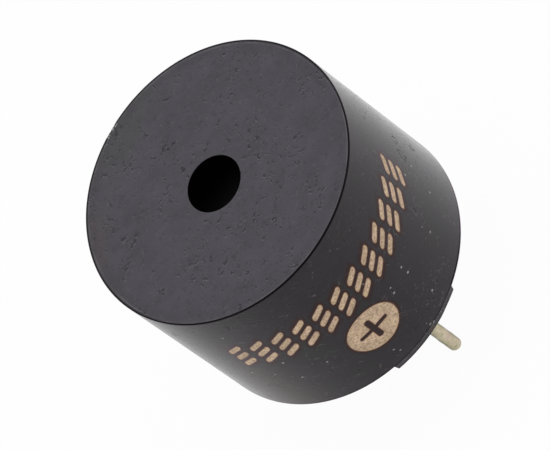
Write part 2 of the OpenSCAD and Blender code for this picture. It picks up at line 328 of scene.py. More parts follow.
def makePin(name, node, sizes):
    low, high = boxOf(node)
    centre = (low + high) / 2
    radius = (high[0] - low[0]) / 2
    sealed = boxOf("potting")[0][2]
    tip = sizes["tipRound"]
    root, end = radius * sizes["rootShare"], radius * sizes["tipShare"]
    free = stretch((root, sealed - 0.1), (end, low[2] + tip), 70, 0.03)
    cut = bend((end - tip, low[2] + tip), tip, 0, -82, 9)
    flat = stretch((end - tip, low[2]), (0, low[2]), 3, 0.03)[:-1]
    held = stretch((sizes["rootFlat"] / 2, high[2]), (sizes["rootFlat"] / 2, sealed), 12, 0.02)
    line = np.concatenate([[(sizes["topHalf"], high[2])], held, free, cut, flat])[:, None, :]
    size, z = line[..., 0], line[..., 1]
    turn = np.radians(np.arange(sizes["columns"]) * 360 / sizes["columns"])[None, :]
    # superellipse: size / (|cos|^n + |sin|^n)^(1/n), n = 2 is round and n = 9 nearly square
    n = np.where(z > sealed - 0.01, 9.0, 2.0)
    r = size / (np.abs(np.cos(turn)) ** n + np.abs(np.sin(turn)) ** n) ** (1 / n)
    # the tin lies a little unevenly: three waves round and along the wire, only on the free part
    wave = np.sin(2 * turn + 2.1 * z + centre[1])
    wave = wave + 0.6 * np.sin(3 * turn - 6.7 * z) + 0.5 * np.sin(turn + 11 * z)
    r = r + sizes["unevenness"] * (wave - 0.6) * smooth((sealed - z) / 0.3) * size / radius
    x, y = centre[0] + r * np.cos(turn), centre[1] + r * np.sin(turn)
    points = np.stack([x, y, np.broadcast_to(z, r.shape)], -1)
    ends = [(centre[0], centre[1], high[2]), (centre[0], centre[1], low[2])]
    return makePiece(name, points, [node], ends)


positiveWire = makePin("positivePinWire", "positive_pin", pinSize)
negativeWire = makePin("negativePinWire", "negative_pin", pinSize)

# The potting skin is the face that the sealing resin set with, drawn up at the wall and at the pins.
skinSize = {
    "level": 0.025,           # below the flat of the cast body
    "wallGap": 0.003,
    "thickness": 0.01,        # how far it reaches into the cast body
    "atWall": 0.11,
    "wallReach": 0.34,
    "atPin": 0.13,
    "pinReach": 0.20,
    "ripple": 0.014,
    "columns": 240,
}


def makeSkin(sizes):
    flat, radius = boxOf("potting")[0][2], caseSize["boreRadius"] - sizes["wallGap"]
    pinLow, pinHigh = boxOf("positive_pin")
    pinPlace, pinRadius = abs(pinLow[1] + pinHigh[1]) / 2, (pinHigh[0] - pinLow[0]) / 2
    # rings, crowded where the pins are and at the wall
    spans = ((0.25, 2.6, 9), (2.8, 4.75, 46), (4.8, radius, 16))
    out = np.concatenate([np.linspace(*span) for span in spans])
    turn = np.radians(np.arange(sizes["columns"]) * 360 / sizes["columns"])[None, :]
    r = out[:, None]
    x, y = r * np.cos(turn), r * np.sin(turn)
    # level, less an exponential rise towards the wall and towards each pin, plus slow ripples
    gap = np.maximum(np.hypot(x, np.abs(y) - pinPlace) - pinRadius, 0)
    drawn = sizes["atWall"] * np.exp((r - radius) / sizes["wallReach"])
    drawn = drawn + sizes["atPin"] * np.exp(-gap / sizes["pinReach"])
    ripple = np.sin(1.9 * x + 0.7 * y) * np.cos(1.3 * y - 0.4) + 0.5 * np.sin(3.7 * x - 2.9 * y + 1)
    z = flat - sizes["level"] - drawn + sizes["ripple"] * ripple
    face = np.stack([x, y, z], -1)
    # the back is flat, with every eighth ring; the first pole closes the face where x and y are 0
    back = face[::-8].copy()
    back[..., 2] = flat + sizes["thickness"]
    middle = flat - sizes["level"] + sizes["ripple"] * 0.5 * math.sin(1)
    poles = [(0, 0, middle), (0, 0, flat + sizes["thickness"])]
    return makePiece("pottingSkin", np.concatenate([face, back]), (), poles)


pottingSkin = makeSkin(skinSize)

caseRadius, _, caseTop = boxOf("case")[1].tolist()


# Shader tools


def fill(node, values):
    # a value that comes from a node is linked to the input of that name or number, any other is written in
    for key, value in values.items():
        value = getattr(value, "socket", value)
        if isinstance(value, bpy.types.NodeSocket):
            node.id_data.links.new(value, node.inputs[key])
        else:
            node.inputs[key].default_value = value
    return node


def put(tree, kind, values=None, **settings):
    # one node with its settings and its inputs
    node = tree.nodes.new("ShaderNode" + kind)
    for key, value in settings.items():
        setattr(node, key, value)
    return fill(node, values or {})


class Signal:
    # what a node gives, so that shading is written as sums: each step makes one more node in the same tree
    def __init__(self, socket):
        self.socket = socket

    def __add__(self, other):
        return calc("ADD", self, other)

    def __mul__(self, other):
        return calc("MULTIPLY", self, other)

    def __sub__(self, other):
        return calc("SUBTRACT", self, other)

    def __rsub__(self, other):
        return calc("SUBTRACT", other, self)

    def __truediv__(self, other):
        return calc("DIVIDE", self, other)

    def __rtruediv__(self, other):
        return calc("DIVIDE", other, self)

    def __abs__(self):
        return calc("ABSOLUTE", self)


def signals(outputs):
    # all outputs of a node as signals, by name and by number
    return {key: Signal(socket) for number, socket in enumerate(outputs) for key in (socket.name, number)}


def after(kind, values, **settings):
    # what a new node gives that stands in the tree of the signals among its values
    tree = next(value.socket.id_data for value in values.values() if isinstance(value, Signal))
    return signals(put(tree, kind, values, **settings).outputs)


def calc(operation, *values):
    # one step of arithmetic
    return after("Math", dict(enumerate(values)), operation=operation)[0]


def highest(result, *others):
    for other in others:
        result = calc("MAXIMUM", result, other)
    return result


def ease(value, low, high, fromValue=0.0, toValue=1.0):
    # fromValue below low, toValue above high, smooth between
    sockets = {"Value": value, "From Min": low, "From Max": high, "To Min": fromValue, "To Max": toValue}
    return after("MapRange", sockets, interpolation_type="SMOOTHSTEP")[0]


def between(value, low, high, soft):
    # 1 from low to high, 0 outside, with soft ends
    return ease(value, low - soft, low + soft) * ease(value, high - soft, high + soft, 1.0, 0.0)


def blend(share, under, over):
    # colour mix: under where share is 0, over where it is 1
    under, over = ((*colour, 1) if isinstance(colour, tuple) else colour for colour in (under, over))
    return after("Mix", {0: share, 6: under, 7: over}, data_type="RGBA")[2]


def length(x, y):
    # the length of the vector (x, y)
    return calc("SQRT", x * x + y * y)


def scaled(vector, factor):
    return after("VectorMath", {0: vector, "Scale": factor}, operation="SCALE")[0]


def split(vector):
    parts = after("SeparateXYZ", {0: vector})
    return parts[0], parts[1], parts[2]


def towards(vector, azimuth, elevation=0.0):
    # how far a vector reaches in the direction of an azimuth and elevation: their dot product
    turn, rise = math.radians(azimuth), math.radians(elevation)
    way = (math.cos(turn) * math.cos(rise), math.sin(turn) * math.cos(rise), math.sin(rise))
    return after("VectorMath", {0: vector, 1: way}, operation="DOT_PRODUCT")["Value"]


def noiseAt(vector, scale, detail=2.0, roughness=0.5, distortion=0.0):
    look = {"Scale": scale, "Detail": detail, "Roughness": roughness, "Distortion": distortion}
    return after("TexNoise", {"Vector": vector, **look})[0]


def newGroup(name, inputs, outputs):
    # inputs are names with defaults, None for a place; gives the tree, its inputs and what sets an output
    tree = bpy.data.node_groups.new(name, "ShaderNodeTree")
    for label, value in inputs.items():
        kind = "Float" if isinstance(value, float) else "Vector"
        socket = tree.interface.new_socket(name=label, in_out="INPUT", socket_type="NodeSocket" + kind)
        if value is not None:
            socket.default_value = value
    for label in outputs:
        tree.interface.new_socket(name=label, in_out="OUTPUT", socket_type="NodeSocketFloat")
    entry, leave = tree.nodes.new("NodeGroupInput"), tree.nodes.new("NodeGroupOutput")
    return tree, signals(entry.outputs), lambda label, signal: fill(leave, {label: signal})


def makeSpecksGroup():
    # round spots scattered at random: Spacing and Size in the unit of Place, Share is how many cells have one
    inputs = {"Place": None, "Spacing": 0.5, "Size": 0.05, "Share": 0.5}
    tree, given, give = newGroup("scatteredSpecks", inputs, ["Mask"])
    place, spacing, size = given["Place"], given["Spacing"], given["Size"]
    cells = after("TexVoronoi", {"Vector": place, "Scale": 1.0 / spacing}, feature="F1")
    chance = after("SeparateColor", {"Color": cells["Color"]})[0]
    ragged = size * (noiseAt(place, 0.6 / size) * 1.2 + 0.4)
    spot = ease(cells["Distance"] * spacing, ragged * 0.6, ragged, 1.0, 0.0)
    give("Mask", spot * calc("LESS_THAN", chance, given["Share"]))
    return tree


def makeScuffsGroup():
    # short thin strokes: cells of a Voronoi drawn out along the turned first axis, only some of them kept
    inputs = {"Place": None, "Turn": (0, 0, 0), "Length": 1.0, "Width": 0.03, "Share": 0.3}
    tree, given, give = newGroup("shortScuffs", inputs, ["Mask"])
    rotation = {"Vector": given["Place"], "Rotation": given["Turn"]}
    x, y, z = split(after("VectorRotate", rotation, rotation_type="EULER_XYZ")[0])
    drawn = after("CombineXYZ", {0: x / given["Length"], 1: y, 2: z})[0]
    cells = after("TexVoronoi", {"Vector": drawn, "Scale": 1.6}, feature="F1")
    chance = after("SeparateColor", {"Color": cells["Color"]})[1]
    offset = after("VectorMath", {0: drawn, 1: cells["Position"]}, operation="SUBTRACT")[0]
    along, across = (abs(way) for way in split(offset)[:2])
    line = ease(across, given["Width"] * 0.3, given["Width"], 1.0, 0.0)
    kept = calc("LESS_THAN", chance, given["Share"])
    broken = ease(noiseAt(given["Place"], 9.0), 0.42, 0.6)
    give("Mask", line * ease(along, 0.1, 0.3, 1.0, 0.0) * (kept * broken))
    return tree


def makePittedSkinGroup():
    # little pits gathered in patches, each painted dark as shade with a painted highlight beside it: the low
    # ends of one noise, read twice
    inputs = {"Place": None, "Scale": 5.0, "Depth": 0.0}
    tree, given, give = newGroup("pittedSkin", inputs, ["Dark", "Pale"])
    place = given["Place"]
    level = ease(noiseAt(place, 0.62), 0.38, 0.64, 0.328, 0.410) + given["Depth"]
    beside = after("VectorMath", {0: place, 1: (0.05, 0.035, 0.02)}, operation="ADD")[0]
    bumps = (noiseAt(at, given["Scale"], 2.5, 0.6, 1.1) for at in (place, beside))
    dark, pale = (ease(noise, level, level - 0.045) for noise in bumps)
    give("Dark", dark)
    give("Pale", pale * (1.0 - dark))
    return tree


def makeRoundPlaceGroup():
    # from a place in millimetres: the way round the wall, the height and the distance from the axis
    tree, given, give = newGroup("roundPlace", {"Place": None}, ["Arc", "Height", "Radius"])
    x, y, z = split(given["Place"])
    give("Arc", calc("ARCTAN2", y, x) * caseRadius)
    give("Height", z)
    give("Radius", length(x, y))
    return tree


groups = {"specks": makeSpecksGroup(), "scuffs": makeScuffsGroup(), "pits": makePittedSkinGroup(),
          "roundPlace": makeRoundPlaceGroup()}


def use(groupName, place, **values):
    # what the group of that name gives at a place
    return after("Group", {"Place": place, **values}, node_tree=groups[groupName])


def toArc(azimuth):
    # the way round the wall to an azimuth, in millimetres: its angle between -180 and 180, times the radius
    return math.radians((azimuth + 180) % 360 - 180) * caseRadius


def newMaterial(name):
    # an empty material with its output and its Principled BSDF, and the piece's coordinates in millimetres
    material = bpy.data.materials.new(name)
    material.use_nodes = True
    tree = material.node_tree
    tree.nodes.clear()
    shader = put(tree, "BsdfPrincipled")
    put(tree, "OutputMaterial", {"Surface": shader.outputs[0]})
    return material, shader, scaled(Signal(put(tree, "TexCoord").outputs["Object"]), 1 / mm)


def setSurface(shader, colour, roughness, metal, relief, depth):
    # the shader's inputs, with a bump of the given depth in millimetres for a relief of 1
    bump = after("Bump", {"Height": relief, "Distance": depth * mm})[0]
    fill(shader, {"Base Color": colour, "Roughness": roughness, "Metallic": metal, "Normal": bump})


# The marking is a row of hatched fields and a polarity disc, burnt into the wall by a laser.
marking = {
    "firstAzimuth": 206.6,
    "lastAzimuth": 315.3,
    "fields": 12,
    "fieldWidth": 0.72,
    "low": 4.61,
    "high": 6.55,
    "rungs": 3,
    "rungPitch": 0.60,
    "rungThick": 0.29,
    "slant": 32.0,                 # of the rungs, from level
    "discAzimuth": 254.95,
    "discHeight": 3.03,
    "discRadius": 1.19,
    "plusAlong": (0.74, 0.115),    # half length and half thickness of the arm that runs round the wall
    "plusUp": (0.69, 0.145),
    "ragged": 0.055,               # how far a mark's edge wanders either way
    "soft": 0.03,                  # half the width over which it fades
    "burnReach": 0.21,
}


def makeMarkingGroup(sizes):
    # signed distances in millimetres, negative inside a mark: the fields' strokes and the disc less its plus
    inputs = {"Arc": 0.0, "Height": 0.0, "Place": None}
    tree, given, give = newGroup("laserMarking", inputs, ["Mark", "Burn"])
    arc, height = given["Arc"], given["Height"]
    first, last = toArc(sizes["firstAzimuth"]), toArc(sizes["lastAzimuth"])
    pitch = (last - first - sizes["fieldWidth"]) / (sizes["fields"] - 1)
    start = first - (pitch - sizes["fieldWidth"]) / 2
    middle = (sizes["low"] + sizes["high"]) / 2
    # fields: columns of short slanting rungs with round ends
    side = (calc("FRACT", (arc - start) / pitch) - 0.5) * pitch
    lean = math.radians(sizes["slant"])
    above = side * -math.tan(lean) + (height - middle)
    # 10 whole turns keep the fraction's argument positive
    turns = calc("FRACT", above * (1 / sizes["rungPitch"]) + (sizes["rungs"] / 2 + 10))
    across = (turns - 0.5) * (sizes["rungPitch"] * math.cos(lean))
    beyond = highest(abs(side) - (sizes["fieldWidth"] - sizes["rungThick"]) / 2, 0.0) * (1 / math.cos(lean))
    tall = abs(above) - sizes["rungs"] * sizes["rungPitch"] / 2
    halfRow = pitch * sizes["fields"] / 2
    ends = abs(arc - (start + halfRow)) - halfRow
    fields = highest(length(beyond, across) - sizes["rungThick"] / 2, tall, ends)
    # disc, and the plus left open in it: distance to a line, less the arm's half thickness
    sideways, upwards = arc - toArc(sizes["discAzimuth"]), height - sizes["discHeight"]

    def arm(along, aside, half, thick):
        return length(highest(abs(along) - (half - thick), 0.0), aside) - thick

    level, upright = arm(sideways, upwards, *sizes["plusAlong"]), arm(upwards, sideways, *sizes["plusUp"])
    cross = calc("MINIMUM", level, upright)
    polarity = highest(length(sideways, upwards) - sizes["discRadius"], cross * -1.0)
    rough = noiseAt(given["Place"], 11.0, 3.0, 0.7) * (2 * sizes["ragged"]) - sizes["ragged"]
    marks = calc("MINIMUM", fields, polarity) + rough
    give("Mark", ease(marks, -sizes["soft"], sizes["soft"], 1.0, 0.0))
    give("Burn", ease(marks, 0.0, sizes["burnReach"], 1.0, 0.0))
    return tree


groups["marking"] = makeMarkingGroup(marking)

# The case plastic: its colours, painted shade and highlights among them, and how much each kind of wear and
# of painted light shows.
tones = {
    "top": (0.0678, 0.0662, 0.0765),
    "green": (0.0655, 0.0690, 0.0660),
    "brown": (0.0780, 0.0668, 0.0715),
    # pit: dark smudges, strokes and bruises, and also the painted shade in pits
    "darkMarkAndPitShade": (0.0260, 0.0250, 0.0290),
    "wall": (0.0028, 0.0026, 0.0028),
    "mauve": (0.0070, 0.0048, 0.0070),
    "olive": (0.0045, 0.0066, 0.0040),
    "umber": (0.0140, 0.0085, 0.0035),
    "foot": (0.0270, 0.0245, 0.0295),
    # line: painted highlight, the pale broken lines along the feet
    "line": (0.1350, 0.1300, 0.1380),
    # edge: near black, painted shade for the top edge, the parting line over the feet and the bottom rim
    "edge": (0.0014, 0.0013, 0.0014),
    # hole: almost black, painted shade inside the sound hole
    "hole": (0.0006, 0.0006, 0.0006),
    "mark": (0.66, 0.505, 0.300),
    "markPink": (0.70, 0.495, 0.365),
    "markDark": (0.33, 0.225, 0.14),
    "burn": (0.0300, 0.0080, 0.0024),
    "scorch": (0.1150, 0.0420, 0.0200),
    # speck: pale dust, flash, scuffs and torn plastic, and also the painted highlights beside pits and at the
    # top edge
    "speckAndHighlight": (0.46, 0.45, 0.43),
    "stain": (0.085, 0.050, 0.020),
}
topWearAndPaintedLight = {
    "tints": (("green", 95, 4.0, 5.3), ("brown", 138, 4.5, 5.5)),    # tone, azimuth, from where to where
    "tintShare": 0.75,
    "ringDark": (5.50, 5.86, 0.08),                                  # from, to, share
    "smudges": ((1.6, 0.16), (2.9, 0.28), (6.5, 0.22)),              # scale, share
    "pitShare": 0.84,
    "highlightShare": 0.088,
    "strokes": ((0.5, "darkMarkAndPitShade", 0.50), (1.9, "darkMarkAndPitShade", 0.45), (2.6, "speckAndHighlight", 0.06)),    # turn, tone, share
    "stroke": {"Length": 0.55, "Width": 0.040, "Share": 0.28},
}
wallWearAndPaintedLight = {
    "umberArc": (181, 197, 206, 224),                                # grows, is full, fades, is gone
    "umberHeight": (3.5, 6.0),
    "driftMiddle": (292, 3.4),                                       # azimuth and height
    "driftReach": (1.6, 3.9),
    "dust": {"Spacing": 0.46, "Size": 0.062},
    "dustShare": 0.62,
    "highlightShare": 0.065,
    "strokes": (((1.3, 0.5, 2.1), 0.12), ((0.4, 1.9, 0.7), 0.09)),   # turn, share
    "stroke": {"Length": 0.6, "Width": 0.04, "Share": 0.16},
    # bits of flash and residue by the marked pin: azimuth, height, size
    "residue": ((268.6, 0.37, 0.07), (270.0, 0.27, 0.075), (267.9, 0.62, 0.035), (252.6, 1.18, 0.05),
                (254.1, 0.86, 0.04)),
    # places that have been knocked, each with a few broken dents: azimuth, height, reach
    "knocks": ((323.4, 4.55, 0.42), (328.5, 4.85, 0.30), (329.0, 7.25, 0.26), (333.5, 3.2, 0.30),
               (218.6, 8.25, 0.26), (229.6, 7.85, 0.12), (205.8, 2.5, 0.30), (191.0, 7.6, 0.30)),
    "fluxArc": (266.7, 268.9),                                       # stain on the foot beside the marked pin
    "fluxHeight": (0.03, 0.25),
}
# how the plastic shines, and how much of its shine each kind of place has lost; at the painted dark lines
# this metallic share, with their near-black colour, also takes the reflection away as painted shade
shine = {
    "topRoughness": 0.62,
    "wallRoughness": 0.13,
    "ior": 1.385,
    "tint": (1.0, 0.87, 1.0, 1.0),
    "edge": 0.75,
    "partingLine": 0.45,
    "burn": 0.60,
    "pits": 0.35,
    "paintedEdgeShade": 0.45,
    "bottomRim": 0.95,
}


def awayFrom(at, azimuth, level, squeeze=1.0):
    # how far it is along the wall from a place on it, with the way round counted at a share of its length
    return length((at["Arc"] - toArc(azimuth)) * squeeze, at["Height"] - level)


def caseZones(at):
    # where it is: wall, top, top edge, parting line over a foot, foot, bottom rim, hole
    height, radius, rim = at["Height"], at["Radius"], caseSize["rimHeight"]
    footHalf = math.radians(caseSize["footHalf"]) * caseRadius
    fromFeet = calc("MINIMUM", *(abs(at["Arc"] - toArc(centre)) for centre in caseSize["footCentres"]))
    clearOfFeet = ease(fromFeet, footHalf - 0.03, footHalf + 0.03)
    wall = ease(radius, caseRadius - 0.12, caseRadius - 0.08)
    top = ease(height, caseTop - 0.02, caseTop - 0.004) * ease(radius, caseRadius - 0.028, caseRadius - 0.056)
    outside = ease(radius, caseRadius - 0.06, caseRadius - 0.03)
    underCap = ease(height, 7.0, 7.5) * ease(height, caseTop - 0.004, caseTop - 0.012)
    return {
        "wall": wall,
        "top": top,
        "edge": ease(height, caseTop - 0.12, caseTop - 0.06) * wall * (1.0 - top),
        "line": between(height, rim + 0.005, rim + 0.07, 0.02) * wall,
        "foot": between(height, 0.055, rim - 0.04, 0.02) * wall,
        "rim": between(height, rim - 0.2, rim + 0.085, 0.02) * outside * clearOfFeet,
        "hole": ease(radius, 2.0, 1.9) * underCap,
    }


def topColour(here, at, skin, look):
    # faint tints towards one side, darker close to the edge, then smudges, pits painted dark as shade with a
    # painted highlight beside each, and strokes
    colour = scaled(tones["top"], skin["shade"])
    for tone, azimuth, first, last in look["tints"]:
        share = ease(towards(here, azimuth), first, last) * ease(noiseAt(here, 0.7), 0.35, 0.6)
        colour = blend(share * look["tintShare"], colour, tones[tone])
    first, last, share = look["ringDark"]
    colour = scaled(colour, 1.0 - between(at["Radius"], first, last, 0.12) * share)
    for scale, share in look["smudges"]:
        colour = blend(ease(noiseAt(here, scale, 3.0, 0.6), 0.42, 0.31) * share, colour, tones["darkMarkAndPitShade"])
    # beside each pit a painted highlight, and the pit itself painted dark: painted shade
    colour = blend(skin["pits"]["Pale"] * look["highlightShare"], colour, tones["speckAndHighlight"])
    colour = blend(skin["pits"]["Dark"] * look["pitShare"], colour, tones["darkMarkAndPitShade"])
    for turn, tone, share in look["strokes"]:
        strokes = use("scuffs", here, Turn=(0.0, 0.0, turn), **look["stroke"])["Mask"]
        colour = blend(strokes * share, colour, tones[tone])
    return colour


def wallColour(here, at, skin, zones, look):
    # black, faintly clouded, with pale specks in a few drifts and some short strokes
    arc, height = at["Arc"], at["Height"]
    colour = blend(skin["clouded"], scaled(tones["wall"], skin["shade"]), tones["mauve"])
    colour = blend(ease(skin["cloud"], 0.48, 0.36), colour, tones["olive"])
    grows, full, fades, gone = (toArc(azimuth) for azimuth in look["umberArc"])
    low, high = look["umberHeight"]
    umber = ease(arc, gone, fades) * ease(height, high, low) * ease(arc, grows, full)
    colour = blend(umber, colour, tones["umber"])
    near, far = look["driftReach"]
    drift = highest(ease(noiseAt(here, 0.33), 0.55, 0.70, 0.03, 0.16),
                    ease(awayFrom(at, *look["driftMiddle"], 0.8), far, near, 0.0, 0.20))
    dust = use("specks", here, Share=drift, **look["dust"])["Mask"]
    colour = blend(dust * look["dustShare"], colour, tones["speckAndHighlight"])
    # pale glints beside the pits where dust lies: dust and painted highlight
    colour = blend(skin["pits"]["Pale"] * ease(drift, 0.03, 0.2) * look["highlightShare"], colour, tones["speckAndHighlight"])
    for turn, share in look["strokes"]:
        strokes = use("scuffs", here, Turn=turn, **look["stroke"])["Mask"]
        colour = blend(strokes * share, colour, tones["speckAndHighlight"])
    for azimuth, level, size in look["residue"]:
        ragged = noiseAt(here, 14.0) * 0.12 + awayFrom(at, azimuth, level)
        colour = blend(ease(ragged, 0.06 + 0.5 * size, 0.06 + size, 0.62, 0.0), colour, tones["speckAndHighlight"])
    # a foot is a little paler and streaked along, with two pale broken lines that are painted highlights
    rim = caseSize["rimHeight"]
    along = after("CombineXYZ", {0: arc, 1: height * 9.0})[0]
    streaks = ease(noiseAt(along, 1.6, 3.0), 0.38, 0.62, 0.30, 1.0)
    colour = blend(zones["foot"] * streaks, colour, tones["foot"])
    broken = ease(noiseAt(along, 3.4, 3.0, 0.7), 0.36, 0.58)
    finer = ease(noiseAt(along, 5.3, 3.0, 0.7), 0.42, 0.62)
    paintedHighlightLines = highest(between(height, rim - 0.085, rim - 0.045, 0.015) * broken,
                    between(height, 0.115, 0.145, 0.015) * finer)
    colour = blend(paintedHighlightLines * zones["wall"] * 0.95, colour, tones["line"])
    start, end = (toArc(azimuth) for azimuth in look["fluxArc"])
    flux = between(arc, start, end, 0.06) * between(height, *look["fluxHeight"], 0.05)
    return blend(flux * 0.6, colour, tones["stain"])


def edgeMasks(here, at):
    # a pale line just inside the top edge, in patches, which is a painted highlight, and a dark one outside
    # it where the round is tight, which is painted shade
    height, radius = at["Height"], at["Radius"]
    turnedAway = ease(towards(here, caseSize["tightSide"][0]), -3.0, 0.0)
    patches = ease(noiseAt(here, 0.8, 3.0), 0.46, 0.62, 0.025, 0.12)
    wornRoundAndPaintedHighlight = between(turnedAway * 0.08 + radius, caseRadius - 0.090, caseRadius - 0.050, 0.012)
    wornRoundAndPaintedHighlight = wornRoundAndPaintedHighlight * ease(height, caseTop - 0.03, caseTop - 0.01) * patches
    dark = ease(radius, caseRadius - 0.105, caseRadius - 0.080) * ease(height, caseTop - 0.06, caseTop - 0.04)
    return wornRoundAndPaintedHighlight, dark * turnedAway


def nickMasks(here, at, zones):
    # torn pale plastic in the nick, and bruises on the top beside it
    start, end = (toArc(nick["azimuth"] + side * nick["halfWidth"]) for side in (-1, 1))
    beside = between(at["Arc"], start, end, 0.06)
    torn = beside * ease(at["Radius"], caseRadius - 0.17, caseRadius - 0.11)
    torn = torn * ease(at["Height"], caseTop - 0.2, caseTop - 0.1)
    torn = torn * ease(noiseAt(here, 6.0, 3.0, 0.7), 0.49, 0.57)
    bruise = beside * between(at["Radius"], 5.50, 5.86, 0.06) * ease(noiseAt(here, 5.0, 3.0, 0.6), 0.49, 0.43)
    return torn, bruise * zones["top"]


def knockMask(here, at, zones, knocks):
    # broken patches of a twisted noise, within reach of each knocked place
    near = (ease(awayFrom(at, azimuth, level), reach, 0.6 * reach) for azimuth, level, reach in knocks)
    return highest(*near) * zones["wall"] * ease(noiseAt(here, 4.5, 3.0, 0.6, 1.1), 0.48, 0.40)


def makeCasePlastic():
    material, shader, here = newMaterial("casePlastic")
    at = use("roundPlace", here)
    zones = caseZones(at)
    # moulded finish: broad mottling, a fine grain, clouds and pits
    grain = noiseAt(here, 16.0, 3.0, 0.65)
    cloud = noiseAt(here, 0.5, 3.0, 0.55)
    pits = use("pits", here, Scale=4.4)
    shade = ease(noiseAt(here, 0.9, 4.0, 0.6), 0.3, 0.7, 0.90, 1.09) + (grain * 0.5 - 0.25)
    skin = {"shade": shade, "cloud": cloud, "clouded": ease(cloud, 0.50, 0.62), "pits": pits}
    wornRoundAndPaintedHighlight, paintedEdgeShade = edgeMasks(here, at)
    torn, bruise = nickMasks(here, at, zones)
    wall, top = wallColour(here, at, skin, zones, wallWearAndPaintedLight), topColour(here, at, skin, topWearAndPaintedLight)
    colour = blend(zones["top"], wall, top)
    # the top edge, the parting line over the feet and the bottom rim are painted near black: painted shade
    colour = blend(highest(zones["line"], zones["rim"], zones["edge"]), colour, tones["edge"])
    # a pale line just inside the top edge: painted highlight
    colour = blend(wornRoundAndPaintedHighlight, colour, tones["speckAndHighlight"])
    # a dark line outside it where the round is tight: painted shade
    colour = blend(paintedEdgeShade * 0.75, colour, tones["edge"])

    # marks: tan, speckled, with a dark burnt surround
    marks = use("marking", here, Arc=at["Arc"], Height=at["Height"])
    marked, burnt = (marks[name] * zones["wall"] for name in ("Mark", "Burn"))
    speckle = noiseAt(here, 11.0, 4.0, 0.8)
    tan = blend(ease(noiseAt(here, 7.5, 3.0, 0.7), 0.44, 0.56), tones["mark"], tones["markPink"])
    tan = blend(ease(speckle, 0.38, 0.58), tones["markDark"], tan)
    tan = scaled(tan, ease(noiseAt(here, 1.7, 3.0), 0.3, 0.7, 0.86, 1.08))
    colour = blend(burnt * 0.9, colour, tones["burn"])
    colour = blend(ease(burnt, 0.72, 0.97, 0.0, 0.40), colour, tones["scorch"])
    colour = blend(marked, colour, tan)

    colour = blend(bruise * 0.75, colour, tones["darkMarkAndPitShade"])
    colour = blend(torn * 0.9, colour, tones["speckAndHighlight"])
    # the sound hole's wall and the ceiling round it are painted almost black: painted shade
    colour = blend(zones["hole"], colour, tones["hole"])

    knocked = knockMask(here, at, zones, wallWearAndPaintedLight["knocks"])
    rough = ease(zones["top"], 0.0, 1.0, shine["wallRoughness"], shine["topRoughness"])
    rough = rough + skin["clouded"] * 0.04 + zones["edge"] * 0.26 + marked * 0.35 + knocked * 0.25
    # charred places and pits have lost the plastic's own shine; the thin dark lines at the top edge, over the
    # feet and round the bottom rim are painted shade, made metallic so that their near-black colour reflects
    # almost nothing
    lost = highest(
        burnt * (1.0 - marked) * shine["burn"],
        zones["edge"] * shine["edge"],
        zones["line"] * shine["partingLine"],
        pits["Dark"] * (1.0 - zones["top"]) * shine["pits"],
        paintedEdgeShade * shine["paintedEdgeShade"],
        zones["rim"] * shine["bottomRim"],
    )
    relief = grain * 0.5 + marked * (speckle - 1.0) + pits["Pale"] * 0.6 - pits["Dark"] * 1.4 - knocked * 4.0
    setSurface(shader, colour, rough, lost * (1.0 - torn), relief, 0.006)
    fill(shader, {"IOR": shine["ior"], "Specular Tint": shine["tint"]})
    return material


# Finishes of the other parts: two colours, the noise's scale, and how rough and how metallic they are.
finishes = {
    "ring_plastic": ((0.66, 0.62, 0.53), (0.60, 0.56, 0.47), 5.0, 0.45, 0.0),
    # the diaphragm and the armature are near black: painted shade, which keeps the view down the sound hole
    # dark
    "diaphragm_steel": ((0.030, 0.030, 0.032), (0.020, 0.020, 0.021), 3.0, 0.40, 0.5),
    "armature_steel": ((0.010, 0.010, 0.011), (0.006, 0.006, 0.006), 6.0, 0.55, 0.5),
    "yoke_steel": ((0.55, 0.56, 0.57), (0.46, 0.47, 0.47), 4.0, 0.34, 1.0),
    "core_iron": ((0.42, 0.42, 0.43), (0.34, 0.33, 0.33), 7.0, 0.36, 1.0),
    "magnet_ferrite": ((0.09, 0.09, 0.09), (0.055, 0.055, 0.057), 16.0, 0.7, 0.0),
    "washer_film": ((0.62, 0.52, 0.33), (0.54, 0.44, 0.27), 6.0, 0.6, 0.0),
    "sleeve_film": ((0.60, 0.40, 0.14), (0.53, 0.34, 0.11), 5.0, 0.3, 0.0),
    "coil_tape": ((0.75, 0.55, 0.12), (0.67, 0.47, 0.09), 4.0, 0.26, 0.0),
    "driver_parts": ((0.03, 0.03, 0.03), (0.045, 0.045, 0.046), 12.0, 0.5, 0.0),
    "solder": ((0.60, 0.61, 0.62), (0.47, 0.47, 0.48), 9.0, 0.26, 1.0),
}


def makeFinish(slotName, first, second, scale, roughness, metal):
    # two shades mixed by a broad noise, a fine bump, and a roughness that wanders with the same noise
    material, shader, here = newMaterial(slotName)
    broad = noiseAt(here, scale * 0.3, 4.0, 0.6)
    colour = blend(ease(broad, 0.35, 0.65), first, second)
    rough = ease(broad, 0.3, 0.7, roughness - 0.06, roughness + 0.08)
    setSurface(shader, colour, rough, metal, noiseAt(here, scale * 3.0, 3.0, 0.6), 0.004)
    return material


wireLook = {"hollow": (0.17, 0.045, 0.018), "crest": (0.56, 0.20, 0.085), "pitch": 0.09, "metal": 0.6}


def makeWindingWire(look):
    # enamelled copper laid in turns: colour repeats along the coil's height at the wire's pitch, painted
    # shade in the hollows between turns and a painted highlight on their crests
    material, shader, here = newMaterial("winding_wire")
    turns = calc("SINE", split(here)[2] * (2 * math.pi / look["pitch"]))
    wander = noiseAt(here, 2.0, 3.0)
    colour = blend(ease(turns + wander, -0.6, 1.2), look["hollow"], look["crest"])
    setSurface(shader, colour, ease(wander, 0.3, 0.7, 0.25, 0.38), look["metal"], turns, 0.02)
    return material


boardLook = {"deep": (0.022, 0.125, 0.052), "light": (0.035, 0.18, 0.08), "threadPitch": 0.45}


